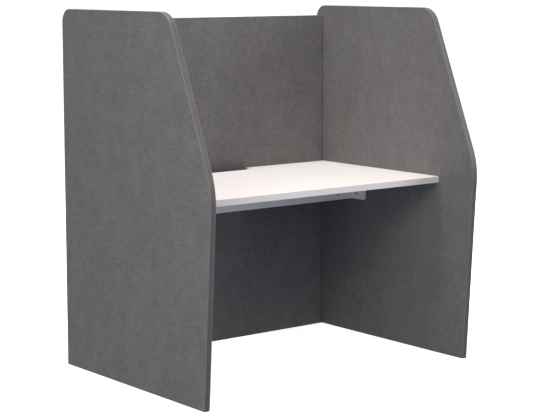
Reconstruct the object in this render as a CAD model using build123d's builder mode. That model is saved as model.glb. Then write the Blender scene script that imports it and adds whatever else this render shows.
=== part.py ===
from build123d import *
import os

# Study carrel: two felt-faced side panels, a felt-faced back panel, a laminated worktop with a
# cable scallop, and a folded steel cross beam under the worktop. Units are millimetres.
# Origin: on the floor, under the middle of the outer box. +X is the reader's right, +Y the back,
# +Z up. "Forward" distances are measured from the rear edges of the side panels, towards -Y.

# ---- Driving dimensions -------------------------------------------------------------------------

OVERALL_WIDTH = 1310.0
SIDE_HEIGHT = 1400.0
BACK_HEIGHT = 1358.0
BACK_SETBACK = 20.0
DESK_HEIGHT = 725.0
DESK_DEPTH = 721.0
DESK_THICKNESS = 25.0

# Outline of a side panel: corners before rounding, forward from the rear edge, and heights
TOP_DEPTH = 706.0
KNEE_DEPTH = 959.5
KNEE_HEIGHT = 787.5
FOOT_DEPTH = 913.5
REAR_TOP_RADIUS = 50.0
FRONT_TOP_RADIUS = 86.0
KNEE_RADIUS = 285.0

# Panel build-up: chipboard core, thin felt glued to both faces, and a plastic band as deep as the
# whole board round the edge, with rounded arrises
CORE = 23.0
FELT = 1.0
BAND = 2.0
BAND_ARRIS = 1.6

# Worktop build-up: chipboard core, laminate on both faces, plastic bands on front and scallop
LAMINATE = 0.8
DESK_BAND = 1.5
DESK_BAND_ARRIS = 0.8

# Cable scallop in the worktop's rear edge
SCALLOP_WIDTH = 408.0
SCALLOP_DEPTH = 60.0
SCALLOP_RADIUS = 60.0

# Folded steel: cross beam and angle brackets
SHEET = 2.0
BEND_RADIUS = 3.0
BEAM_HEIGHT = 120.0
BEAM_FROM_BACK = 202.0
BEAM_TOP_FLANGE = 40.0
BEAM_BOTTOM_FLANGE = 30.0
BEAM_LIP = 12.0
BEAM_END_FLANGE = 81.0
BEAM_CORNER_RADIUS = 12.0
BEAM_FOLD_RELIEF = 24.0
BEAM_HOLE_RADIUS = 3.5
BEAM_HOLE_X = 546.0
BEAM_HOLE_FROM_EDGE = 22.0
BRACKET_LEG = 30.0
BRACKET_LENGTH = 60.0
BRACKET_HOLE_SPACING = 40.0
BRACKET_HOLE_DOWN = 18.0
SIDE_BRACKETS_FORWARD = (125.0, 548.0)
BACK_BRACKET_X = 420.0

# Fasteners
SCREW_RADIUS = 2.0
SCREW_LENGTH = 16.0
SCREW_HEAD_RADIUS = 4.0
SCREW_HEAD_HEIGHT = 2.6
SCREW_TIP = 2.0
SCREW_CLEARANCE = 0.25
RECESS_LENGTH = 4.4
RECESS_WIDTH = 0.9
RECESS_DEPTH = 1.4
BEAM_SCREW_FORWARD = 23.0
BEAM_SCREW_FROM_EDGE = 23.0
BEAM_TOP_SCREW_X = (-520.0, -260.0, 0.0, 260.0, 520.0)
BEAM_TOP_SCREW_BACK = 22.0

# Knock-down fittings between the back panel and the side panels
CAM_HEIGHTS = (110.0, 620.0, 1250.0)
CAM_RADIUS = 7.5
CAM_DEPTH = 16.0
CAM_INSET = 34.0
CAM_SLOT_LENGTH = 9.0
CAM_SLOT_WIDTH = 2.0
CAM_SLOT_DEPTH = 2.0
BOLT_THREAD_RADIUS = 2.5
BOLT_THREAD_LENGTH = 14.0
BOLT_COLLAR_RADIUS = 4.0
BOLT_COLLAR_LENGTH = 5.0
BOLT_SHAFT_RADIUS = 3.0
BOLT_NECK_RADIUS = 2.0
BOLT_NECK_LENGTH = 4.0
BOLT_HEAD_RADIUS = 3.2
CAP_RADIUS = 9.0
CAP_THICKNESS = 1.2
DOWEL_HEIGHTS = (160.0, 670.0, 1200.0)
DOWEL_RADIUS = 4.0
DOWEL_IN_SIDE = 12.0
DOWEL_IN_BACK = 24.0
DOWEL_CHAMFER = 1.0

# ---- Worked-out places --------------------------------------------------------------------------

BOARD = CORE + 2 * FELT
INNER_HALF = OVERALL_WIDTH / 2 - BOARD
DESK_UNDERSIDE = DESK_HEIGHT - DESK_THICKNESS
BEAM_BOTTOM = DESK_UNDERSIDE - BEAM_HEIGHT
SIDES = (("left", -1), ("right", 1))

with BuildSketch() as side_outline:
    with BuildLine():
        FilletPolyline(
            (0, 0),
            (0, SIDE_HEIGHT),
            (TOP_DEPTH, SIDE_HEIGHT),
            (KNEE_DEPTH, KNEE_HEIGHT),
            (FOOT_DEPTH, 0),
            radius=(0, REAR_TOP_RADIUS, FRONT_TOP_RADIUS, KNEE_RADIUS, 0),
            close=True,
        )
    make_face()

with BuildSketch() as side_core_outline:
    add(side_outline.sketch)
    offset(amount=-BAND, kind=Kind.INTERSECTION)

REAR_Y = side_outline.sketch.bounding_box().max.X / 2
BACK_FACE_Y = REAR_Y - BACK_SETBACK - BOARD
BACK_CORE_REAR_Y = BACK_FACE_Y + FELT + CORE
BACK_MIDDLE_Y = BACK_FACE_Y + BOARD / 2
DESK_FRONT_Y = BACK_FACE_Y - DESK_DEPTH
BEAM_FORWARD = BACK_SETBACK + BOARD + BEAM_FROM_BACK
BEAM_FACE_Y = REAR_Y - BEAM_FORWARD
BEAM_HOLE_HEIGHTS = (BEAM_BOTTOM + BEAM_HOLE_FROM_EDGE, DESK_UNDERSIDE - BEAM_HOLE_FROM_EDGE)
BEAM_SCREW_HEIGHTS = (BEAM_BOTTOM + BEAM_SCREW_FROM_EDGE, DESK_UNDERSIDE - BEAM_SCREW_FROM_EDGE)
BRACKET_HOLE_OFFSETS = (-BRACKET_HOLE_SPACING / 2, BRACKET_HOLE_SPACING / 2)

# Screw places on a side panel's inner face: (forward from the rear edge, height)
side_screws = [(BEAM_FORWARD + BEAM_SCREW_FORWARD, height) for height in BEAM_SCREW_HEIGHTS]
side_screws += [
    (forward + step, DESK_UNDERSIDE - BRACKET_HOLE_DOWN)
    for forward in SIDE_BRACKETS_FORWARD
    for step in BRACKET_HOLE_OFFSETS
]

# Screw places on the back panel's front face: (x, height)
back_screws = [
    (x + step, DESK_UNDERSIDE - BRACKET_HOLE_DOWN)
    for x in (-BACK_BRACKET_X, BACK_BRACKET_X)
    for step in BRACKET_HOLE_OFFSETS
]

# Screw places on the worktop's underside: (x, y)
bracket_desk_screws = [
    (sign * (INNER_HALF - BRACKET_HOLE_DOWN), REAR_Y - forward - step)
    for side, sign in SIDES
    for forward in SIDE_BRACKETS_FORWARD
    for step in BRACKET_HOLE_OFFSETS
]
bracket_desk_screws += [(x, BACK_FACE_Y - BRACKET_HOLE_DOWN) for x, height in back_screws]
beam_desk_screws = [(x, BEAM_FACE_Y + BEAM_TOP_SCREW_BACK) for x in BEAM_TOP_SCREW_X]
desk_screws = bracket_desk_screws + beam_desk_screws

# Knock-down fitting places: (forward from the rear edge, height)
BACK_MIDDLE_FORWARD = REAR_Y - BACK_MIDDLE_Y
side_bolts = [(BACK_MIDDLE_FORWARD, height) for height in CAM_HEIGHTS]
side_dowels = [(BACK_MIDDLE_FORWARD, height) for height in DOWEL_HEIGHTS]
cam_places = [
    (sign * (INNER_HALF - CAM_INSET), height) for side, sign in SIDES for height in CAM_HEIGHTS
]


# ---- Helpers ------------------------------------------------------------------------------------


def side_plane(x):
    """Plane across X at x: local x runs forward from the rear edges, local y up, normal -X."""
    return Plane(origin=(x, REAR_Y, 0), x_dir=(0, -1, 0), z_dir=(-1, 0, 0))


def back_plane(y):
    """Plane across Y at y: local x is X, local y up, normal -Y."""
    return Plane(origin=(0, y, 0), x_dir=(1, 0, 0), z_dir=(0, -1, 0))


def layer_start(sign, inner, thickness):
    """X of the face from which a side panel's layer is extruded towards -X."""
    return inner + thickness if sign > 0 else -inner


def drill(plane, centres, radius, depth):
    """Cut round holes in the current part from a plane, along its normal by depth."""
    with BuildSketch(plane) as mouths:
        with Locations(*centres):
            Circle(radius)
    extrude(mouths.sketch, amount=depth, mode=Mode.SUBTRACT)


def drill_side(sign, centres, radius, depth):
    """Cut holes outwards into a side panel from its inner face."""
    drill(side_plane(sign * INNER_HALF), centres, radius, -sign * depth)


def save(part, label):
    """Label a finished piece and write it to its own file."""
    part.label = label
    export_step(part, f"parts/{label}.step")


os.makedirs("parts", exist_ok=True)

# ---- Side panels --------------------------------------------------------------------------------

for side, sign in SIDES:
    with BuildPart() as side_core:
        with BuildSketch(side_plane(layer_start(sign, INNER_HALF + FELT, CORE))):
            add(side_core_outline.sketch)
        extrude(amount=CORE)
        drill_side(sign, side_screws, SCREW_RADIUS, SCREW_LENGTH - SHEET)
        drill_side(sign, side_bolts, BOLT_THREAD_RADIUS, BOLT_THREAD_LENGTH)
        drill_side(sign, side_dowels, DOWEL_RADIUS, DOWEL_IN_SIDE)
    save(side_core.part, f"{side}_panel_core")

    with BuildPart() as side_band:
        with BuildSketch(side_plane(layer_start(sign, INNER_HALF, BOARD))):
            add(side_outline.sketch)
        extrude(amount=BOARD)
        panel_faces = side_band.faces().filter_by(Axis.X)
        fillet(panel_faces.edges(), radius=BAND_ARRIS)
        with BuildSketch(side_plane(layer_start(sign, INNER_HALF, BOARD))):
            add(side_core_outline.sketch)
        extrude(amount=BOARD, mode=Mode.SUBTRACT)
    save(side_band.part, f"{side}_panel_edge_band")

    with BuildPart() as outer_felt:
        with BuildSketch(side_plane(layer_start(sign, INNER_HALF + FELT + CORE, FELT))):
            add(side_core_outline.sketch)
        extrude(amount=FELT)
    save(outer_felt.part, f"{side}_panel_outer_felt")

    with BuildPart() as inner_felt:
        with BuildSketch(side_plane(layer_start(sign, INNER_HALF, FELT))):
            add(side_core_outline.sketch)
        extrude(amount=FELT)
        drill_side(sign, side_screws, SCREW_RADIUS + SCREW_CLEARANCE, FELT)
        drill_side(sign, side_bolts, BOLT_THREAD_RADIUS, FELT)
        drill_side(sign, side_dowels, DOWEL_RADIUS, FELT)
    save(inner_felt.part, f"{side}_panel_inner_felt")

# ---- Back panel ---------------------------------------------------------------------------------

with BuildPart() as back_core:
    with BuildSketch(back_plane(BACK_CORE_REAR_Y)):
        with Locations((0, BACK_HEIGHT / 2)):
            Rectangle(2 * INNER_HALF, BACK_HEIGHT - 2 * BAND)
    extrude(amount=CORE)
    drill(back_plane(BACK_FACE_Y + FELT), back_screws, SCREW_RADIUS, -(SCREW_LENGTH - SHEET - FELT))
    drill(back_plane(BACK_CORE_REAR_Y), cam_places, CAM_RADIUS, CAM_DEPTH)
    for side, sign in SIDES:
        drill(side_plane(sign * INNER_HALF), side_bolts, BOLT_COLLAR_RADIUS, sign * CAM_INSET)
        drill(side_plane(sign * INNER_HALF), side_dowels, DOWEL_RADIUS, sign * DOWEL_IN_BACK)
save(back_core.part, "back_panel_core")

for label, bottom, outside in (
    ("back_panel_top_band", BACK_HEIGHT - BAND, -1),
    ("back_panel_bottom_band", 0, 0),
):
    with BuildPart() as back_band:
        with BuildSketch(Plane.XY.offset(bottom)):
            with Locations((0, BACK_MIDDLE_Y)):
                Rectangle(2 * INNER_HALF, BOARD)
        extrude(amount=BAND)
        outside_face = back_band.faces().sort_by(Axis.Z)[outside]
        fillet(outside_face.edges().filter_by(Axis.X), radius=BAND_ARRIS)
    save(back_band.part, label)

with BuildPart() as front_felt:
    with BuildSketch(back_plane(BACK_FACE_Y + FELT)):
        with Locations((0, BACK_HEIGHT / 2)):
            Rectangle(2 * INNER_HALF, BACK_HEIGHT - 2 * BAND)
    extrude(amount=FELT)
    drill(back_plane(BACK_FACE_Y), back_screws, SCREW_RADIUS + SCREW_CLEARANCE, -FELT)
save(front_felt.part, "back_panel_front_felt")

with BuildPart() as rear_felt:
    with BuildSketch(back_plane(BACK_FACE_Y + BOARD)):
        with Locations((0, BACK_HEIGHT / 2)):
            Rectangle(2 * INNER_HALF, BACK_HEIGHT - 2 * BAND)
    extrude(amount=FELT)
    drill(back_plane(BACK_FACE_Y + BOARD), cam_places, CAM_RADIUS, FELT)
save(rear_felt.part, "back_panel_rear_felt")

# ---- Worktop ------------------------------------------------------------------------------------

with BuildSketch() as scallop:
    with Locations((0, BACK_FACE_Y - SCALLOP_DEPTH)):
        Rectangle(SCALLOP_WIDTH, 2 * SCALLOP_DEPTH, align=(Align.CENTER, Align.MIN))
    fillet(scallop.vertices().group_by(Axis.Y)[0], radius=SCALLOP_RADIUS)

with BuildSketch() as scallop_cut:
    add(scallop.sketch)
    offset(amount=DESK_BAND, kind=Kind.ARC)

with BuildSketch() as desk_outline:
    with Locations((0, DESK_FRONT_Y + DESK_BAND)):
        Rectangle(2 * INNER_HALF, DESK_DEPTH - DESK_BAND, align=(Align.CENTER, Align.MIN))
    add(scallop_cut.sketch, mode=Mode.SUBTRACT)

with BuildPart() as desk_core:
    with BuildSketch(Plane.XY.offset(DESK_UNDERSIDE + LAMINATE)):
        add(desk_outline.sketch)
    extrude(amount=DESK_THICKNESS - 2 * LAMINATE)
    drill(Plane.XY.offset(DESK_UNDERSIDE), desk_screws, SCREW_RADIUS, SCREW_LENGTH - SHEET)
save(desk_core.part, "worktop_core")

with BuildPart() as desk_laminate:
    with BuildSketch(Plane.XY.offset(DESK_HEIGHT - LAMINATE)):
        add(desk_outline.sketch)
    extrude(amount=LAMINATE)
save(desk_laminate.part, "worktop_top_laminate")

with BuildPart() as desk_backing:
    with BuildSketch(Plane.XY.offset(DESK_UNDERSIDE)):
        add(desk_outline.sketch)
    extrude(amount=LAMINATE)
    drill(Plane.XY.offset(DESK_UNDERSIDE), desk_screws, SCREW_RADIUS, LAMINATE)
save(desk_backing.part, "worktop_backing_laminate")

with BuildPart() as desk_front_band:
    with BuildSketch(Plane.XY.offset(DESK_UNDERSIDE)):
        with Locations((0, DESK_FRONT_Y)):
            Rectangle(2 * INNER_HALF, DESK_BAND, align=(Align.CENTER, Align.MIN))
    extrude(amount=DESK_THICKNESS)
    front_face = desk_front_band.faces().sort_by(Axis.Y)[0]
    fillet(front_face.edges().filter_by(Axis.X), radius=DESK_BAND_ARRIS)
save(desk_front_band.part, "worktop_front_band")

with BuildPart() as desk_scallop_band:
    with BuildSketch(Plane.XY.offset(DESK_UNDERSIDE)):
        add(scallop_cut.sketch)
        add(scallop.sketch, mode=Mode.SUBTRACT)
        with Locations((0, BACK_FACE_Y)):
            Rectangle(
                2 * SCALLOP_WIDTH,
                2 * SCALLOP_DEPTH,
                align=(Align.CENTER, Align.MIN),
                mode=Mode.SUBTRACT,
            )
    extrude(amount=DESK_THICKNESS)
save(desk_scallop_band.part, "worktop_scallop_band")

# ---- Cross beam: a folded C section with end flanges bent forward -------------------------------

with BuildPart() as cross_beam:
    with BuildSketch(side_plane(INNER_HALF - BEAM_FOLD_RELIEF)):
        with BuildLine():
            beam_skin = FilletPolyline(
                (BEAM_FORWARD - BEAM_TOP_FLANGE, DESK_UNDERSIDE),
                (BEAM_FORWARD, DESK_UNDERSIDE),
                (BEAM_FORWARD, BEAM_BOTTOM),
                (BEAM_FORWARD - BEAM_BOTTOM_FLANGE, BEAM_BOTTOM),
                (BEAM_FORWARD - BEAM_BOTTOM_FLANGE, BEAM_BOTTOM + BEAM_LIP),
                radius=BEND_RADIUS,
            )
            offset(beam_skin, amount=SHEET, side=Side.RIGHT, mode=Mode.ADD)
        make_face()
    extrude(amount=2 * (INNER_HALF - BEAM_FOLD_RELIEF))
    with BuildSketch(Plane.XY.offset(BEAM_BOTTOM)):
        for side, sign in SIDES:
            with BuildLine():
                end_skin = FilletPolyline(
                    (sign * (INNER_HALF - BEAM_FOLD_RELIEF), BEAM_FACE_Y + SHEET),
                    (sign * INNER_HALF, BEAM_FACE_Y + SHEET),
                    (sign * INNER_HALF, BEAM_FACE_Y - BEAM_END_FLANGE),
                    radius=BEND_RADIUS,
                )
                offset(end_skin, amount=SHEET, side=Side.RIGHT if sign > 0 else Side.LEFT, mode=Mode.ADD)
            make_face()
    extrude(amount=BEAM_HEIGHT)
    front_corners = cross_beam.edges().filter_by(Axis.X).group_by(Axis.Y)[0]
    fillet(front_corners, radius=BEAM_CORNER_RADIUS)
    web_holes = [(sign * BEAM_HOLE_X, height) for side, sign in SIDES for height in BEAM_HOLE_HEIGHTS]
    drill(back_plane(BEAM_FACE_Y), web_holes, BEAM_HOLE_RADIUS, -SHEET)
    drill(
        Plane.XY.offset(DESK_UNDERSIDE),
        beam_desk_screws,
        SCREW_RADIUS + SCREW_CLEARANCE,
        -SHEET,
    )
    beam_end_holes = side_screws[: len(BEAM_SCREW_HEIGHTS)]
    for side, sign in SIDES:
        drill_side(sign, beam_end_holes, SCREW_RADIUS + SCREW_CLEARANCE, -SHEET)
save(cross_beam.part, "cross_beam")

# ---- Angle brackets under the worktop -----------------------------------------------------------

# One bracket at the origin: it lies against a panel face at x = 0 and a worktop underside at z = 0
with BuildPart() as angle_bracket:
    with BuildSketch(Plane.XZ.offset(-BRACKET_LENGTH / 2)):
        with BuildLine():
            bracket_skin = FilletPolyline(
                (0, -BRACKET_LEG),
                (0, 0),
                (BRACKET_LEG, 0),
                radius=BEND_RADIUS,
            )
            offset(bracket_skin, amount=SHEET, side=Side.RIGHT, mode=Mode.ADD)
        make_face()
    extrude(amount=BRACKET_LENGTH)
    drill(
        Plane.XY,
        [(BRACKET_HOLE_DOWN, step) for step in BRACKET_HOLE_OFFSETS],
        SCREW_RADIUS + SCREW_CLEARANCE,
        -SHEET,
    )
    drill(
        Plane.YZ,
        [(step, -BRACKET_HOLE_DOWN) for step in BRACKET_HOLE_OFFSETS],
        SCREW_RADIUS + SCREW_CLEARANCE,
        SHEET,
    )

bracket_places = {}
for side, sign in SIDES:
    turn = 180 if sign > 0 else 0
    for end, forward in zip(("rear", "front"), SIDE_BRACKETS_FORWARD):
        place = Location((sign * INNER_HALF, REAR_Y - forward, DESK_UNDERSIDE), (0, 0, turn))
        bracket_places[f"{side}_{end}_bracket"] = place
    place = Location((sign * BACK_BRACKET_X, BACK_FACE_Y, DESK_UNDERSIDE), (0, 0, -90))
    bracket_places[f"back_{side}_bracket"] = place

for label, place in bracket_places.items():
    with BuildPart() as bracket:
        with Locations(place):
            add(angle_bracket.part)
    save(bracket.part, label)

# ---- Screws -------------------------------------------------------------------------------------

# One pan-head screw at the origin: the head stands on z = 0 and the shank points to -Z
with BuildPart() as pan_screw:
    with BuildSketch(Plane.XZ):
        with BuildLine():
            Polyline(
                (0, 0),
                (0, -SCREW_LENGTH),
                (SCREW_RADIUS, -SCREW_LENGTH + SCREW_TIP),
                (SCREW_RADIUS, 0),
                (0, 0),
            )
        make_face()
    revolve(axis=Axis.Z)
    Cylinder(SCREW_HEAD_RADIUS, SCREW_HEAD_HEIGHT, align=(Align.CENTER, Align.CENTER, Align.MIN))
    fillet(pan_screw.faces().sort_by(Axis.Z)[-1].edges(), radius=SCREW_HEAD_HEIGHT / 2)
    with Locations((0, 0, SCREW_HEAD_HEIGHT)):
        for angle in (0, 90):
            Box(
                RECESS_LENGTH,
                RECESS_WIDTH,
                2 * RECESS_DEPTH,
                rotation=(0, 0, angle),
                mode=Mode.SUBTRACT,
            )


def desk_screw_places(points):
    """Places of screws driven up into the worktop through sheet steel."""
    return [Location((x, y, DESK_UNDERSIDE - SHEET), (180, 0, 0)) for x, y in points]


def side_screw_places(points):
    """Places of screws driven outwards into both side panels through sheet steel."""
    return [
        Location((sign * (INNER_HALF - SHEET), REAR_Y - forward, height), (0, -sign * 90, 0))
        for side, sign in SIDES
        for forward, height in points
    ]


back_screw_places = [Location((x, BACK_FACE_Y - SHEET, height), (90, 0, 0)) for x, height in back_screws]
screw_groups = {
    "beam_end_screws": side_screw_places(beam_end_holes),
    "beam_top_screws": desk_screw_places(beam_desk_screws),
    "bracket_worktop_screws": desk_screw_places(bracket_desk_screws),
    "bracket_panel_screws": side_screw_places(side_screws[len(beam_end_holes):]) + back_screw_places,
}
for label, places in screw_groups.items():
    with BuildPart() as screw_group:
        with Locations(*places):
            add(pan_screw.part)
    save(screw_group.part, label)

# ---- Knock-down fittings between the back panel and the side panels -----------------------------


def joint_places(heights):
    """Places on both joint faces between back panel and side panels, with +X turned outwards."""
    return [
        Location((sign * INNER_HALF, BACK_MIDDLE_Y, height), (0, 0, 0 if sign > 0 else 180))
        for side, sign in SIDES
        for height in heights
    ]


# One cam bolt at the origin: the joint face is x = 0, the thread points to +X
BOLT_REACH = CAM_INSET + BOLT_HEAD_RADIUS
BOLT_NECK_START = CAM_INSET - BOLT_HEAD_RADIUS
with BuildPart() as cam_bolt:
    with BuildSketch(Plane.XY):
        with BuildLine():
            Polyline(
                (BOLT_THREAD_LENGTH, 0),
                (BOLT_THREAD_LENGTH, BOLT_THREAD_RADIUS),
                (0, BOLT_THREAD_RADIUS),
                (0, BOLT_COLLAR_RADIUS),
                (-BOLT_COLLAR_LENGTH, BOLT_COLLAR_RADIUS),
                (-BOLT_COLLAR_LENGTH, BOLT_SHAFT_RADIUS),
                (-BOLT_NECK_START + BOLT_NECK_LENGTH, BOLT_SHAFT_RADIUS),
                (-BOLT_NECK_START + BOLT_NECK_LENGTH, BOLT_NECK_RADIUS),
                (-BOLT_NECK_START, BOLT_NECK_RADIUS),
                (-BOLT_NECK_START, BOLT_HEAD_RADIUS),
                (-BOLT_REACH, BOLT_HEAD_RADIUS),
                (-BOLT_REACH, 0),
                close=True,
            )
        make_face()
    revolve(axis=Axis.X)

with BuildPart() as cam_bolts:
    with Locations(*joint_places(CAM_HEIGHTS)):
        add(cam_bolt.part)
save(cam_bolts.part, "cam_bolts")

# One cam housing at the origin: its outer face is y = 0, its body goes to -Y, the bolt enters
# from +X at the middle of the core's thickness
with BuildPart() as cam_housing:
    with BuildSketch(Plane.XZ):
        Circle(CAM_RADIUS)
    extrude(amount=CAM_DEPTH)
    with BuildSketch(Plane.YZ.offset(CAM_RADIUS)):
        with Locations((-CORE / 2, 0)):
            Circle(BOLT_HEAD_RADIUS)
    extrude(amount=-(CAM_RADIUS + BOLT_HEAD_RADIUS), mode=Mode.SUBTRACT)
    for angle in (0, 90):
        Box(
            CAM_SLOT_LENGTH,
            2 * CAM_SLOT_DEPTH,
            CAM_SLOT_WIDTH,
            rotation=(0, angle, 0),
            mode=Mode.SUBTRACT,
        )

with BuildPart() as cam_housings:
    for side, sign in SIDES:
        turn = 0 if sign > 0 else 180
        cam_x = sign * (INNER_HALF - CAM_INSET)
        with Locations(*[Location((cam_x, BACK_CORE_REAR_Y, z), (0, turn, 0)) for z in CAM_HEIGHTS]):
            add(cam_housing.part)
save(cam_housings.part, "cam_housings")

with BuildPart() as cam_cap:
    with BuildSketch(Plane.XZ):
        Circle(CAM_RADIUS)
    extrude(amount=FELT)
    with BuildSketch(Plane.XZ):
        Circle(CAP_RADIUS)
    extrude(amount=-CAP_THICKNESS)
    fillet(cam_cap.faces().sort_by(Axis.Y)[-1].edges(), radius=CAP_THICKNESS / 2)

with BuildPart() as cam_caps:
    with Locations(*[Location((x, BACK_FACE_Y + BOARD, z)) for x, z in cam_places]):
        add(cam_cap.part)
save(cam_caps.part, "cam_caps")

with BuildPart() as dowel:
    with BuildSketch(Plane.YZ.offset(-DOWEL_IN_BACK)):
        Circle(DOWEL_RADIUS)
    extrude(amount=DOWEL_IN_BACK + DOWEL_IN_SIDE)
    chamfer(dowel.edges().filter_by(GeomType.CIRCLE), length=DOWEL_CHAMFER)

with BuildPart() as dowels:
    with Locations(*joint_places(DOWEL_HEIGHTS)):
        add(dowel.part)
save(dowels.part, "panel_dowels")
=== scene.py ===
import math

import bmesh
import bpy
from mathutils import Matrix, Vector, noise


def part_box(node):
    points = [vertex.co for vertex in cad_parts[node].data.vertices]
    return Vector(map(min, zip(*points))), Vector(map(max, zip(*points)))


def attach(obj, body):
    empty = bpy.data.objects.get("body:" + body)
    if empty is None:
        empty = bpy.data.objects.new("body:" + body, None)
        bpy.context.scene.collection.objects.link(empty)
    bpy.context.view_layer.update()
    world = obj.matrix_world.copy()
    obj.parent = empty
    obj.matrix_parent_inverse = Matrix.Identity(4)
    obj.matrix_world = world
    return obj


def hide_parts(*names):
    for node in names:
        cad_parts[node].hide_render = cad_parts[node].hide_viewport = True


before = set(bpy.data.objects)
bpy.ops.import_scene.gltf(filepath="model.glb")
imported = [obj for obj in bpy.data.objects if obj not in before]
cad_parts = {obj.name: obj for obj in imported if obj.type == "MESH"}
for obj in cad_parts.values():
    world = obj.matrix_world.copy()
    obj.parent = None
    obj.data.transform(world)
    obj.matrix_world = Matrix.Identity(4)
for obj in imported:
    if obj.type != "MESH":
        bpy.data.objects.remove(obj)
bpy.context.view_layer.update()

# Study carrel. Metres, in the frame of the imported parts: +X reader's right, +Y back, +Z up.
# The felt faces and the panels' edge bands are modelled here as detailed pieces. The boards' cores,
# the worktop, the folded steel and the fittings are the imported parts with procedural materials.

MM = 0.001

# Outline of a side panel before rounding: (forward from the rear edge, height)
TOP_FRONT = (0.706, 1.400)
KNEE = (0.9595, 0.7875)
FOOT = (0.9135, 0.0)
REAR_TOP_RADIUS = 0.050
FRONT_TOP_RADIUS = 0.086
KNEE_RADIUS = 0.285

# Edge bands, and rounding of the modelled pieces' edges
BAND = 2.0 * MM
BAND_ARRIS = 1.7 * MM
# Painted highlight along the edge bands' arrises: how far in from the board's faces it reaches, and over
# what width it fades in
ARRIS_HIGHLIGHT_MARGIN = 3.2 * MM
ARRIS_HIGHLIGHT_FADE = 1.2 * MM
FELT_ARRIS = 0.35 * MM
BUTTED_FELT_ARRIS = 0.85 * MM
FELT_UNDER_ARRIS = 0.1 * MM
HOLDING_STRIP = 0.3 * MM
SHARP_ANGLE = math.radians(40)

# Spacing of the modelled meshes, and heights that count as the same
ARC_STEP = math.radians(3)
GRID_STEP = 0.012
ROUNDING_STEPS = 5
SAME_HEIGHT = 1e-7

# Slow waves of the glued felt: (size of a wave, height)
FELT_WAVES = ((0.090, 0.16 * MM), (0.034, 0.05 * MM))
WAVE_FREE_MARGIN = 0.030

# Painted shade on the back panel's felt where it meets the side panels, measured in from its butted ends
CORNER_SHADE_MARGIN = 9 * MM
CORNER_SHADE_FULLY = 1.5 * MM
CORNER_SHADE_END = 0.4 * MM

# How far short of a side panel's inner face its edge band's colours begin
SIDE_CLEARANCE = 0.5 * MM


# ---- Outlines -----------------------------------------------------------------------------------


def rounded_run(corners, radii):
    """Points along a run of straight lines whose inner corners are rounded to the given radii."""
    corners = [Vector(corner) for corner in corners]
    points = [corners[0]]
    for before, corner, after, radius in zip(corners, corners[1:], corners[2:], radii):
        arriving = (corner - before).normalized()
        leaving = (after - corner).normalized()
        cross = arriving.x * leaving.y - arriving.y * leaving.x
        turn = math.atan2(cross, arriving.dot(leaving))
        side = math.copysign(1, turn)
        start = corner - arriving * radius * math.tan(abs(turn) / 2)
        centre = start + Vector((-arriving.y, arriving.x)) * side * radius
        steps = max(2, math.ceil(abs(turn) / ARC_STEP))
        for step in range(steps + 1):
            spoke = Matrix.Rotation(turn * step / steps, 2) @ (start - centre)
            points.append(centre + spoke)
    points.append(corners[-1])
    return points


def across_at(run, height):
    """First coordinate where a run of points that climbs passes a height."""
    for low, high in zip(run, run[1:]):
        if low.y <= height <= high.y and high.y > low.y:
            return low.x + (high.x - low.x) * (height - low.y) / (high.y - low.y)
    return next(point.x for point in run if point.y >= height - SAME_HEIGHT)


def even_steps(low, high, step):
    """Evenly spaced values from low to high, about a step apart."""
    count = max(1, round((high - low) / step))
    return [low + (high - low) * index / count for index in range(count + 1)]


def side_panel_rows():
    """Rows of points over a side panel's outline, from the floor up: (forward, height)."""
    top = TOP_FRONT[1]
    front = rounded_run((FOOT, KNEE, TOP_FRONT, (0, top)), (KNEE_RADIUS, FRONT_TOP_RADIUS))
    rear = rounded_run(((0, 0), (0, top), TOP_FRONT), (REAR_TOP_RADIUS,))
    heights = even_steps(0, top - FRONT_TOP_RADIUS, GRID_STEP)
    quarter = even_steps(0, math.pi / 2, ARC_STEP)[1:]
    heights += [top - FRONT_TOP_RADIUS * (1 - math.sin(angle)) for angle in quarter]
    count = round(KNEE[0] / GRID_STEP)
    rows = []
    for height in heights:
        start = across_at(rear, height)
        end = across_at(front, height)
        rows.append([Vector((start + (end - start) * i / count, height)) for i in range(count + 1)])
    return rows


def rectangle_rows(left, right, bottom, top):
    """Rows of points over a rectangle."""
    columns = even_steps(left, right, GRID_STEP)
    return [[Vector((x, y)) for x in columns] for y in even_steps(bottom, top, GRID_STEP)]


def edge_of(rows):
    """Indices (row, column) once round the edge of rows of points, and the outward mitre at each."""
    last_row = len(rows) - 1
    last_column = len(rows[0]) - 1
    places = [(0, column) for column in range(last_column)]
    places += [(row, last_column) for row in range(last_row)]
    places += [(last_row, column) for column in range(last_column, 0, -1)]
    places += [(row, 0) for row in range(last_row, 0, -1)]
    return places, mitres([rows[row][column] for row, column in places])


def mitres(points):
    """Outward mitre vectors of a closed anticlockwise loop of points."""
    found = []
    for before, point, after in zip(points[-1:] + points[:-1], points, points[1:] + points[:1]):
        arriving = (point - before).normalized()
        leaving = (after - point).normalized()
        first = Vector((arriving.y, -arriving.x))
        second = Vector((leaving.y, -leaving.x))
        found.append((first + second) / (1 + first.dot(second)))
    return found


def rounding(radius, level, direction):
    """(inset, level) steps of a quarter round from a face at a level to the edge."""
    angles = even_steps(0, math.pi / 2, math.pi / 2 / ROUNDING_STEPS)
    return [
        (radius * (1 - math.sin(angle)), level + direction * radius * (1 - math.cos(angle)))
        for angle in angles
    ]


def felt_section(thickness, inset, arris):
    """(inset, level) steps of a felt sheet from its show face, round its edge, to its back."""
    over = rounding(arris, thickness, -1)
    under = rounding(FELT_UNDER_ARRIS, 0, 1)[::-1]
    start = [(arris + HOLDING_STRIP, thickness)]
    end = [(FELT_UNDER_ARRIS + HOLDING_STRIP, 0)]
    return [(inset + step, level) for step, level in start + over + under + end]


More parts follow.
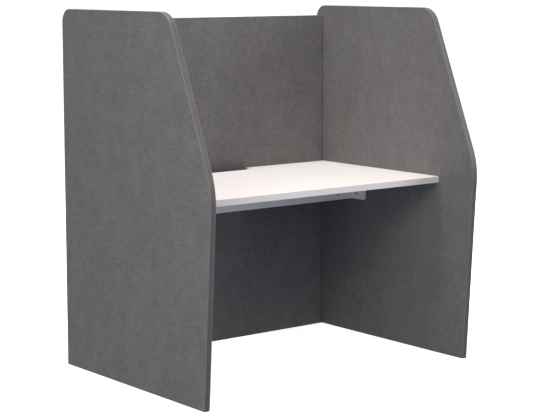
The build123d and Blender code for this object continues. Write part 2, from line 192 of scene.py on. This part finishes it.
def band_section(bottom, top):
    """Closed (inset, level) section of an edge band: both arrises rounded, square inside."""
    over = rounding(BAND_ARRIS, top, -1)
    under = rounding(BAND_ARRIS, bottom, 1)[::-1]
    face = [(0, over[-1][1] - HOLDING_STRIP), (0, under[0][1] + HOLDING_STRIP)]
    return over + face + under + [(BAND, bottom), (BAND, top)]


# ---- Meshes -------------------------------------------------------------------------------------


def finish_mesh(mesh, name):
    """Turn a bmesh into an object with outward normals, smooth except over sharp edges."""
    bmesh.ops.recalc_face_normals(mesh, faces=mesh.faces)
    for edge in mesh.edges:
        edge.smooth = edge.calc_face_angle() < SHARP_ANGLE
    data = bpy.data.meshes.new(name)
    mesh.to_mesh(data)
    mesh.free()
    data.polygons.foreach_set("use_smooth", [True] * len(data.polygons))
    piece = bpy.data.objects.new(name, data)
    bpy.context.scene.collection.objects.link(piece)
    return piece


def bridge(mesh, loops):
    """Quads between successive closed loops of vertices."""
    for one, other in zip(loops, loops[1:]):
        for index in range(len(one)):
            follower = (index + 1) % len(one)
            mesh.faces.new((one[index], one[follower], other[follower], other[index]))


def wave_height(point, room):
    """Height of the felt's slow waves at a point, fading out near the sheet's edge."""
    fade = min(1, max(0, room / WAVE_FREE_MARGIN))
    waves = sum(height * noise.noise(point / size) for size, height in FELT_WAVES)
    return waves * fade * fade * (3 - 2 * fade)


def plate(name, rows, section, place, waves=False):
    """Closed plate over rows of points, with the section's rounded edge all round.

    place(across, along, level) gives a point of the plate in space. The section starts at the
    plate's show face. With waves, the show face carries the felt's slow waves.
    """
    mesh = bmesh.new()
    places, outward = edge_of(rows)
    mitre_at = dict(zip(places, outward))

    def face_points(inset, level, wavy):
        """Vertices of one flat face, by (row, column), drawn in from the outline by the inset."""
        found = {}
        for row, line in enumerate(rows):
            start = line[0] - mitre_at[(row, 0)] * inset
            end = line[-1] - mitre_at[(row, len(line) - 1)] * inset
            for column, point in enumerate(line):
                if (row, column) in mitre_at:
                    flat = point - mitre_at[(row, column)] * inset
                else:
                    flat = start.lerp(end, column / (len(line) - 1))
                spot = Vector(place(flat.x, flat.y, level))
                if wavy:
                    room = min(
                        flat.x - line[0].x,
                        line[-1].x - flat.x,
                        flat.y - rows[0][0].y,
                        rows[-1][0].y - flat.y,
                    )
                    lift = wave_height(spot, room)
                    spot = Vector(place(flat.x, flat.y, level + lift))
                found[(row, column)] = mesh.verts.new(spot)
        return found

    faces = [face_points(*section[0], waves), face_points(*section[-1], False)]
    for vertices in faces:
        for row in range(len(rows) - 1):
            for column in range(len(rows[0]) - 1):
                mesh.faces.new(
                    (
                        vertices[(row, column)],
                        vertices[(row, column + 1)],
                        vertices[(row + 1, column + 1)],
                        vertices[(row + 1, column)],
                    )
                )
    loops = [[faces[0][spot] for spot in places]]
    for inset, level in section[1:-1]:
        loop = []
        for (row, column), mitre in zip(places, outward):
            flat = rows[row][column] - mitre * inset
            loop.append(mesh.verts.new(place(flat.x, flat.y, level)))
        loops.append(loop)
    loops.append([faces[1][spot] for spot in places])
    bridge(mesh, loops)
    return finish_mesh(mesh, name)


def ring(name, points, section, place):
    """Closed band round a loop of points, with a closed section of (inset, level) steps."""
    mesh = bmesh.new()
    outward = mitres(points)
    loops = []
    for inset, level in section:
        flats = [point - mitre * inset for point, mitre in zip(points, outward)]
        loops.append([mesh.verts.new(place(flat.x, flat.y, level)) for flat in flats])
    bridge(mesh, loops + loops[:1])
    return finish_mesh(mesh, name)


def strip(name, section, ends, place):
    """Straight strip with a closed section of (across, level) steps, capped square at both ends."""
    mesh = bmesh.new()
    loops = [[mesh.verts.new(place(along, *step)) for step in section] for along in ends]
    bridge(mesh, loops)
    for loop in loops:
        mesh.faces.new(loop)
    return finish_mesh(mesh, name)


def stand_in(piece, slot_name, *nodes):
    """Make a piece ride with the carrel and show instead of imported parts."""
    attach(piece, "root")
    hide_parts(*nodes)
    piece.data.materials.append(MATERIALS[slot_name])
    return piece


# ---- Materials ----------------------------------------------------------------------------------


class Paint:
    """A node material under construction."""

    def __init__(self, name, **settings):
        self.material = bpy.data.materials.new(name)
        self.material.use_nodes = True
        self.tree = self.material.node_tree
        self.shader = self.tree.nodes["Principled BSDF"]
        for key, value in settings.items():
            self.shader.inputs[key.replace("_", " ")].default_value = value
        self.coordinates = self.add("ShaderNodeTexCoord").outputs["Object"]

    def add(self, kind, **values):
        """Add a node, with its inputs linked from sockets or set to values."""
        made = self.tree.nodes.new(kind)
        for key, value in values.items():
            self.feed(made.inputs[key], value)
        return made

    def feed(self, socket, value):
        """Link a socket to another, or set it."""
        if isinstance(value, bpy.types.NodeSocket):
            self.tree.links.new(value, socket)
        else:
            socket.default_value = value

    def noise(self, sizes, detail=2.0, roughness=0.55, shift=0.0):
        """Noise whose grains have the given sizes along X, Y and Z, in millimetres."""
        mapping = self.add("ShaderNodeMapping", Vector=self.coordinates)
        mapping.inputs["Scale"].default_value = [1 / (size * MM) for size in sizes]
        mapping.inputs["Location"].default_value = (shift, shift, shift)
        made = self.add("ShaderNodeTexNoise", Vector=mapping.outputs["Vector"])
        made.inputs["Scale"].default_value = 1.0
        made.inputs["Detail"].default_value = detail
        made.inputs["Roughness"].default_value = roughness
        return made.outputs["Fac"]

    def math(self, operation, first, second):
        """One arithmetic step."""
        made = self.tree.nodes.new("ShaderNodeMath")
        made.operation = operation
        self.feed(made.inputs[0], first)
        self.feed(made.inputs[1], second)
        return made.outputs[0]

    def blend(self, parts):
        """Weighted sum of sockets, given as (socket, weight)."""
        total = None
        for socket, weight in parts:
            part = self.math("MULTIPLY", socket, weight)
            total = part if total is None else self.math("ADD", total, part)
        return total

    def ramp(self, socket, stops):
        """Colour ramp over a socket, given as (position, colour)."""
        made = self.add("ShaderNodeValToRGB", Fac=socket)
        elements = made.color_ramp.elements
        while len(elements) < len(stops):
            elements.new(0.5)
        for element, (position, colour) in zip(elements, stops):
            element.position = position
            element.color = (*colour, 1)
        return made.outputs["Color"]

    def multiply(self, first, second):
        """Product of two colour sockets."""
        made = self.tree.nodes.new("ShaderNodeMix")
        made.data_type = "RGBA"
        made.blend_type = "MULTIPLY"
        made.inputs["Factor"].default_value = 1.0
        self.tree.links.new(first, made.inputs["A"])
        self.tree.links.new(second, made.inputs["B"])
        return made.outputs["Result"]

    def levels(self, socket, low, high):
        """Values from low to high where a socket runs through the middle half of its range."""
        made = self.add("ShaderNodeMapRange", Value=socket)
        made.inputs["From Min"].default_value = 0.25
        made.inputs["From Max"].default_value = 0.75
        made.inputs["To Min"].default_value = low
        made.inputs["To Max"].default_value = high
        return made.outputs["Result"]

    def colour(self, socket):
        """Use a colour socket as the base colour."""
        self.tree.links.new(socket, self.shader.inputs["Base Color"])

    def roughness(self, socket):
        """Use a socket as the roughness."""
        self.tree.links.new(socket, self.shader.inputs["Roughness"])

    def bump(self, height, distance, strength=1.0):
        """Bump the surface by a height socket, at a distance in millimetres."""
        made = self.add("ShaderNodeBump", Height=height)
        made.inputs["Strength"].default_value = strength
        made.inputs["Distance"].default_value = distance * MM
        self.tree.links.new(made.outputs["Normal"], self.shader.inputs["Normal"])


def scaled(colour, factor):
    """A colour made lighter or darker."""
    return tuple(channel * factor for channel in colour)


def felt_material():
    """Pressed grey felt: cloudy tone, short flat fibres lying across and others standing upright, and
    painted shade at the back panel's butted ends.
    """
    paint = Paint("felt", Roughness=0.95, Specular_IOR_Level=0.2, Sheen_Weight=0.18, Sheen_Roughness=0.45)
    cloud = paint.noise((75, 75, 110), detail=2.0)
    mottle = paint.noise((24, 24, 20), detail=3.0, shift=3.1)
    lying = paint.noise((26, 26, 4.2), detail=3.0, roughness=0.6, shift=7.7)
    upright = paint.noise((4.6, 4.6, 26), detail=3.0, roughness=0.6, shift=11.3)
    fibre = paint.noise((2.0, 2.0, 1.4), detail=4.0, roughness=0.7, shift=17.9)
    tone = paint.blend(((cloud, 0.15), (mottle, 0.13), (lying, 0.28), (upright, 0.22), (fibre, 0.22)))
    grey = paint.ramp(tone, ((0.25, scaled(FELT_GREY, 0.42)), (0.75, scaled(FELT_GREY, 1.58))))
    drift = paint.noise((110, 110, 110), detail=1.0, shift=23.7)
    tint = paint.ramp(drift, ((0.35, (0.990, 0.999, 1.012)), (0.65, (1.010, 1.0, 0.990))))
    toned = paint.multiply(grey, tint)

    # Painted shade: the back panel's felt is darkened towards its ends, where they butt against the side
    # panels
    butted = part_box("back_panel_front_felt")[1].x
    axes = paint.add("ShaderNodeSeparateXYZ", Vector=paint.coordinates)
    sideways = paint.math("ABSOLUTE", axes.outputs["X"], 0)
    nearing = paint.add("ShaderNodeMapRange", Value=sideways)
    nearing.inputs["From Min"].default_value = butted - CORNER_SHADE_MARGIN
    nearing.inputs["From Max"].default_value = butted - CORNER_SHADE_FULLY
    inside = paint.math("LESS_THAN", sideways, butted - CORNER_SHADE_END)
    corner_shade = paint.math("MULTIPLY", nearing.outputs["Result"], inside)
    paint.colour(paint.multiply(toned, paint.ramp(corner_shade, ((0, (1, 1, 1)), (1, PAINTED_CORNER_SHADE)))))
    paint.bump(paint.blend(((lying, 0.4), (upright, 0.3), (fibre, 0.3), (mottle, 0.5))), 0.9, 0.5)
    return paint.material


def edge_band_material():
    """Dark grey satin plastic strip with a fine moulded grain, and a painted highlight along its arrises.
    """
    paint = Paint("edge_band", Specular_IOR_Level=0.6)
    grain = paint.noise((0.9, 0.9, 0.9), detail=3.0)
    cloud = paint.noise((45, 45, 45), shift=2.3)
    tone = paint.blend(((grain, 0.4), (cloud, 0.6)))
    plain = paint.ramp(tone, ((0.3, scaled(BAND_GREY, 0.9)), (0.7, scaled(BAND_GREY, 1.1))))

    # Distance from the middle of the board's thickness, across a side panel or the back panel
    side_low, side_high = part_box("right_panel_edge_band")
    back_low, back_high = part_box("back_panel_top_band")
    axes = paint.add("ShaderNodeSeparateXYZ", Vector=paint.coordinates)
    sideways = paint.math("ABSOLUTE", axes.outputs["X"], 0)
    side = paint.math("SUBTRACT", sideways, (side_low.x + side_high.x) / 2)
    back = paint.math("SUBTRACT", axes.outputs["Y"], (back_low.y + back_high.y) / 2)
    on_side = paint.math("GREATER_THAN", sideways, side_low.x - SIDE_CLEARANCE)
    on_back = paint.math("SUBTRACT", 1, on_side)
    side_part = paint.math("MULTIPLY", paint.math("ABSOLUTE", side, 0), on_side)
    back_part = paint.math("MULTIPLY", paint.math("ABSOLUTE", back, 0), on_back)
    off_middle = paint.math("ADD", side_part, back_part)
    # Painted highlight: the band is made paler within a margin of the board's faces, over its rounded
    # arrises
    highlight_start = (side_high.x - side_low.x) / 2 - ARRIS_HIGHLIGHT_MARGIN
    highlight_mask = paint.add("ShaderNodeMapRange", Value=off_middle)
    highlight_mask.inputs["From Min"].default_value = highlight_start
    highlight_mask.inputs["From Max"].default_value = highlight_start + ARRIS_HIGHLIGHT_FADE
    painted_highlight = paint.ramp(highlight_mask.outputs["Result"], ((0, (1, 1, 1)), (1, PAINTED_ARRIS_HIGHLIGHT)))
    paint.colour(paint.multiply(plain, painted_highlight))
    paint.roughness(paint.levels(tone, 0.46, 0.56))
    paint.bump(grain, 0.10, 0.35)
    return paint.material


def laminate_material(name, white):
    """White laminate or edge strip of the worktop, with a faint satin texture."""
    paint = Paint(name, Specular_IOR_Level=0.4)
    pearl = paint.noise((1.4, 1.4, 1.4), detail=3.0)
    cloud = paint.noise((120, 120, 120), shift=4.1)
    tone = paint.blend(((pearl, 0.5), (cloud, 0.5)))
    paint.colour(paint.ramp(tone, ((0.3, scaled(white, 0.975)), (0.7, scaled(white, 1.01)))))
    paint.roughness(paint.levels(tone, 0.40, 0.50))
    paint.bump(pearl, 0.08, 0.3)
    return paint.material


def powder_coat_material():
    """Light grey powder coat with fine orange peel."""
    paint = Paint("steel_white", Specular_IOR_Level=0.5)
    peel = paint.noise((1.8, 1.8, 1.8), detail=2.0)
    cloud = paint.noise((60, 60, 60), shift=5.3)
    paint.colour(
        paint.ramp(
            paint.blend(((peel, 0.4), (cloud, 0.6))),
            ((0.3, scaled(COAT_GREY, 0.96)), (0.7, scaled(COAT_GREY, 1.03))),
        )
    )
    paint.roughness(paint.levels(cloud, 0.42, 0.52))
    paint.bump(peel, 0.12, 0.4)
    return paint.material


def metal_material(name, colour, rough, grain_size):
    """Plated steel with a fine grain and uneven dulling."""
    paint = Paint(name, Metallic=1.0)
    grain = paint.noise((grain_size, grain_size, grain_size), detail=3.0)
    dull = paint.noise((9, 9, 9), shift=6.7)
    tone = paint.blend(((grain, 0.5), (dull, 0.5)))
    paint.colour(paint.ramp(tone, ((0.3, scaled(colour, 0.85)), (0.7, scaled(colour, 1.12)))))
    paint.roughness(paint.levels(dull, rough - 0.07, rough + 0.09))
    paint.bump(grain, 0.04, 0.4)
    return paint.material


def chipboard_material():
    """Raw chipboard: pale and brown flakes bonded under pressure."""
    paint = Paint("chipboard", Roughness=0.85, Specular_IOR_Level=0.2)
    cells = paint.add("ShaderNodeTexVoronoi", Vector=paint.coordinates)
    cells.inputs["Scale"].default_value = FLAKES_PER_METRE
    flakes = paint.noise((6, 6, 2), detail=4.0, roughness=0.65)
    tone = paint.blend(((cells.outputs["Distance"], 0.4), (flakes, 0.7)))
    paint.colour(
        paint.ramp(
            tone,
            ((0.3, (0.22, 0.13, 0.07)), (0.5, (0.42, 0.29, 0.17)), (0.72, (0.60, 0.46, 0.30))),
        )
    )
    paint.bump(tone, 0.5, 0.6)
    return paint.material


def beech_material():
    """Turned beech: long pale grain with short darker flecks, running along X."""
    paint = Paint("beech", Roughness=0.6, Specular_IOR_Level=0.3)
    grain = paint.noise((24, 0.8, 0.8), detail=3.0)
    fleck = paint.noise((3.0, 0.35, 0.35), detail=2.0, shift=8.9)
    tone = paint.blend(((grain, 0.6), (fleck, 0.4)))
    paint.colour(
        paint.ramp(
            tone,
            ((0.3, (0.40, 0.24, 0.13)), (0.5, (0.58, 0.40, 0.24)), (0.7, (0.68, 0.50, 0.32))),
        )
    )
    paint.bump(tone, 0.12, 0.5)
    return paint.material


def cap_material():
    """Dark grey moulded plastic with a spark-eroded grain."""
    paint = Paint("cap_plastic", Specular_IOR_Level=0.5)
    grain = paint.noise((0.5, 0.5, 0.5), detail=3.0)
    paint.colour(paint.ramp(grain, ((0.3, scaled(BAND_GREY, 0.85)), (0.7, scaled(BAND_GREY, 1.1)))))
    paint.roughness(paint.levels(grain, 0.42, 0.56))
    paint.bump(grain, 0.08, 0.5)
    return paint.material


FELT_GREY = (0.176, 0.174, 0.176)
# Painted shade at the back panel's butted ends: the felt colour there is multiplied by this
PAINTED_CORNER_SHADE = (0.70, 0.69, 0.69)
BAND_GREY = (0.113, 0.111, 0.113)
# Painted highlight: how much paler the edge bands are along their arrises
PAINTED_ARRIS_HIGHLIGHT = (1.80, 1.76, 1.76)
LAMINATE_WHITE = (0.92, 0.885, 0.87)
# Painted light: the edge strips' paler, cooler white stands in for the light on the worktop's front edge
PAINTED_LIGHT_STRIP_WHITE = (0.95, 0.938, 0.952)
COAT_GREY = (0.95, 0.93, 0.925)
SCREW_BLACK = (0.10, 0.10, 0.105)
ZINC_GREY = (0.56, 0.57, 0.59)
FLAKES_PER_METRE = 420

MATERIALS = {
    "felt": felt_material(),
    "edge_band": edge_band_material(),
    "laminate": laminate_material("laminate", LAMINATE_WHITE),
    "steel_white": powder_coat_material(),
    "screw_steel": metal_material("screw_steel", SCREW_BLACK, 0.42, 0.5),
    "zinc": metal_material("zinc", ZINC_GREY, 0.40, 0.8),
    "chipboard": chipboard_material(),
    "beech": beech_material(),
    "cap_plastic": cap_material(),
}

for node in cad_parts.values():
    for material_slot in node.material_slots:
        material_slot.material = MATERIALS[material_slot.material.name.split(".")[0]]

# Painted light: the worktop's edge strips get a paler, cooler white than its laminate, standing in for
# the cooler light that falls on the worktop's front edge and making that edge lighter
worktop_strip_painted_light = laminate_material("worktop_strip_painted_light", PAINTED_LIGHT_STRIP_WHITE)
for name in ("worktop_front_band", "worktop_scallop_band"):
    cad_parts[name].material_slots[0].material = worktop_strip_painted_light

# ---- Side panels --------------------------------------------------------------------------------

rear_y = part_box("left_panel_edge_band")[1].y
side_rows = side_panel_rows()
side_edge = [side_rows[row][column] for row, column in edge_of(side_rows)[0]]


def upright_place(x, direction):
    """Places for a layer of a side panel: levels grow from x, along X by direction."""
    return lambda forward, height, level: (x + direction * level, rear_y - forward, height)


for side, out in (("left", -1), ("right", 1)):
    band_low, band_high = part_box(f"{side}_panel_edge_band")
    for layer, direction in (("outer", out), ("inner", -out)):
        node = f"{side}_panel_{layer}_felt"
        low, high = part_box(node)
        glued = low.x if direction > 0 else high.x
        felt = plate(
            f"{side}_{layer}_felt_sheet",
            side_rows,
            felt_section(high.x - low.x, BAND, FELT_ARRIS),
            upright_place(glued, direction),
            waves=True,
        )
        stand_in(felt, "felt", node)
    band = ring(
        f"{side}_panel_band",
        side_edge,
        band_section(0, band_high.x - band_low.x),
        upright_place(band_low.x, 1),
    )
    stand_in(band, "edge_band", f"{side}_panel_edge_band")

# ---- Back panel ---------------------------------------------------------------------------------

for layer, out in (("front", -1), ("rear", 1)):
    node = f"back_panel_{layer}_felt"
    low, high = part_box(node)
    glued_y = high.y if out < 0 else low.y
    felt = plate(
        f"back_{layer}_felt_sheet",
        rectangle_rows(low.x, high.x, low.z, high.z),
        felt_section(high.y - low.y, 0, BUTTED_FELT_ARRIS),
        lambda x, z, level: (x, glued_y + out * level, z),
        waves=True,
    )
    stand_in(felt, "felt", node)

for edge, inwards in (("top", -1), ("bottom", 1)):
    node = f"back_panel_{edge}_band"
    low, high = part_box(node)
    outside = high.z if inwards < 0 else low.z
    strip_piece = strip(
        f"back_{edge}_band_strip",
        band_section(low.y, high.y),
        (low.x, high.x),
        lambda x, inset, y: (x, y, outside + inwards * inset),
    )
    stand_in(strip_piece, "edge_band", node)

# ---- Stage, light and camera --------------------------------------------------------------------

FLOOR_REACH = 60.0
FLOOR_GLOW = 0.85
CAMERA_PLACE = (-3.8881, -4.8550, 1.5197)
CAMERA_LOOKS_DOWN = math.radians(7.708)
CAMERA_TURNS_RIGHT = math.radians(38.520)


def area_light(name, place, target, size, power, colour):
    """Soft rectangular light at a place, facing a target."""
    data = bpy.data.lights.new(name, "AREA")
    data.shape = "RECTANGLE"
    data.size, data.size_y = size
    data.energy = power
    data.color = colour
    lamp = bpy.data.objects.new(name, data)
    bpy.context.scene.collection.objects.link(lamp)
    lamp.location = place
    lamp.rotation_euler = (Vector(target) - Vector(place)).to_track_quat("-Z", "Y").to_euler()
    lamp.visible_camera = False
    return lamp


# (name, place, target, size, power in watts, colour)
LIGHTS = (
    ("overhead", (0, 0.3, 6.0), (0, 0, 0.7), (2.4, 1.2), 153, (1.0, 0.98, 0.97)),
    ("overhead_narrow", (0, 0.15, 6.0), (0, 0, 0.7), (1.0, 1.0), 75, (1.0, 0.96, 0.935)),
    ("left_wall", (-4.2, -0.8, 0.7), (0, 0, 0.6), (3.0, 1.4), 21, (0.90, 0.97, 1.0)),
    ("left_high", (-2.4, -3.4, 3.4), (0, 0, 0.8), (1.2, 1.2), 22, (1.0, 0.82, 0.68)),
    ("left_key", (-3.2, -1.9, 2.25), (0, 0, 0.8), (1.8, 1.8), 43, (1.0, 0.93, 0.86)),
    ("front_right", (3.6, -3.9, 2.0), (0, 0, 0.8), (2.4, 2.4), 62, (1.0, 1.0, 1.0)),
    ("right_wall", (4.6, -0.8, 2.4), (0, 0, 0.8), (2.5, 2.0), 45, (1.0, 1.0, 1.0)),
    ("behind", (1.5, 4.5, 3.0), (0, 0, 0.8), (3.0, 2.5), 60, (1.0, 1.0, 1.0)),
    ("back_right", (3.6, 3.4, 1.1), (0, 0, 0.8), (2.5, 1.6), 40, (1.0, 1.0, 1.0)),
)
for light in LIGHTS:
    area_light(*light)

# Room light by height of the direction it comes from: floor, horizon, walls and ceiling
ROOM = (
    (-0.12, (0.29, 0.31, 0.355)),
    (0.04, (0.01, 0.02, 0.04)),
    (0.36, (0.505, 0.507, 0.524)),
    (0.90, (0.41, 0.38, 0.37)),
)

world = bpy.data.worlds.new("studio")
bpy.context.scene.world = world
world.use_nodes = True
nodes = world.node_tree.nodes
links = world.node_tree.links
nodes.clear()
direction = nodes.new("ShaderNodeTexCoord")
split = nodes.new("ShaderNodeSeparateXYZ")
links.new(direction.outputs["Generated"], split.inputs[0])
rise = nodes.new("ShaderNodeMapRange")
rise.inputs["From Min"].default_value = -1.0
links.new(split.outputs["Z"], rise.inputs["Value"])
sky = nodes.new("ShaderNodeValToRGB")
while len(sky.color_ramp.elements) < len(ROOM):
    sky.color_ramp.elements.new(0.5)
for stop, (height, colour) in zip(sky.color_ramp.elements, ROOM):
    stop.position = (height + 1) / 2
    stop.color = (*colour, 1)
links.new(rise.outputs["Result"], sky.inputs["Fac"])
ambient = nodes.new("ShaderNodeBackground")
links.new(sky.outputs["Color"], ambient.inputs["Color"])
white = nodes.new("ShaderNodeBackground")
white.inputs["Color"].default_value = (1, 1, 1, 1)
seen = nodes.new("ShaderNodeLightPath")
choice = nodes.new("ShaderNodeMixShader")
links.new(seen.outputs["Is Camera Ray"], choice.inputs["Fac"])
links.new(ambient.outputs["Background"], choice.inputs[1])
links.new(white.outputs["Background"], choice.inputs[2])
output = nodes.new("ShaderNodeOutputWorld")
links.new(choice.outputs["Shader"], output.inputs["Surface"])

floor_data = bpy.data.meshes.new("floor")
floor_corners = [(x * FLOOR_REACH, y * FLOOR_REACH, 0) for x, y in ((-1, -1), (1, -1), (1, 1), (-1, 1))]
floor_data.from_pydata(floor_corners, [], [(0, 1, 2, 3)])
floor = bpy.data.objects.new("floor", floor_data)
bpy.context.scene.collection.objects.link(floor)
floor_paint = Paint("floor", Base_Color=(0.9, 0.9, 0.9, 1), Roughness=0.9, Specular_IOR_Level=0.0)
floor_paint.shader.inputs["Emission Color"].default_value = (1, 1, 1, 1)
floor_paint.shader.inputs["Emission Strength"].default_value = FLOOR_GLOW
floor_data.materials.append(floor_paint.material)
floor.visible_diffuse = False
floor.visible_glossy = False
floor.visible_shadow = False

camera_data = bpy.data.cameras.new("camera")
camera = bpy.data.objects.new("camera", camera_data)
bpy.context.scene.collection.objects.link(camera)
camera.location = CAMERA_PLACE
camera.rotation_euler = (math.pi / 2 - CAMERA_LOOKS_DOWN, 0, -CAMERA_TURNS_RIGHT)
camera_data.lens = 107.41
camera_data.sensor_width = 36.0
camera_data.shift_y = -0.03
camera_data.clip_end = 200.0
bpy.context.scene.camera = camera
bpy.context.scene.view_settings.view_transform = "Standard"
